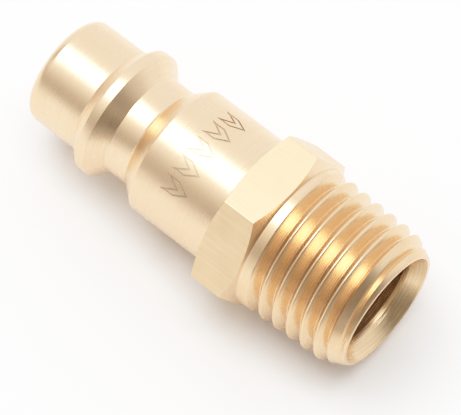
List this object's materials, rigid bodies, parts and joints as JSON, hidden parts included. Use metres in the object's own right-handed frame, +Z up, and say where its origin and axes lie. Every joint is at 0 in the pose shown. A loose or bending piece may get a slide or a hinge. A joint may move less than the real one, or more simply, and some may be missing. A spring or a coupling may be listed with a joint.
{
  "type": "quick disconnect plug",
  "caption": "Brass quick disconnect plug: stepped ball-lock nose, hexagon and male taper thread, with a spring-closed poppet valve in its bore.",
  "frame": {"origin": "on the plug's axis, halfway between the nose's front face and the thread's end face", "axes": "+X runs along the plug's axis from the nose to the thread; +Z is up, square to one pair of hexagon flats, and one flat faces straight down"},
  "size_m": [0.0352, 0.0162, 0.014],
  "materials": {
    "turned_brass": "bright turned, with fine lathe lines",
    "valve_brass": "as turned",
    "phosphated_steel": "dark phosphate",
    "spring_steel": "drawn stainless wire",
    "nitrile_rubber": "matt moulded"
  },
  "bodies": {
    "plug": {"plug_body": "turned_brass", "valve_guide": "valve_brass", "retaining_ring": "phosphated_steel", "valve_spring": "spring_steel"},
    "valve": {"valve_poppet": "valve_brass", "poppet_seal": "nitrile_rubber"}
  },
  "joints": [
    {"name": "valve_slide", "type": "slide", "parent": "plug", "child": "valve", "axis": [1, 0, 0], "range_m": [0, 0.0032], "stiffness_N_per_m": 800, "springref_m": -0.004, "deforming": ["valve_spring"]}
  ]
}
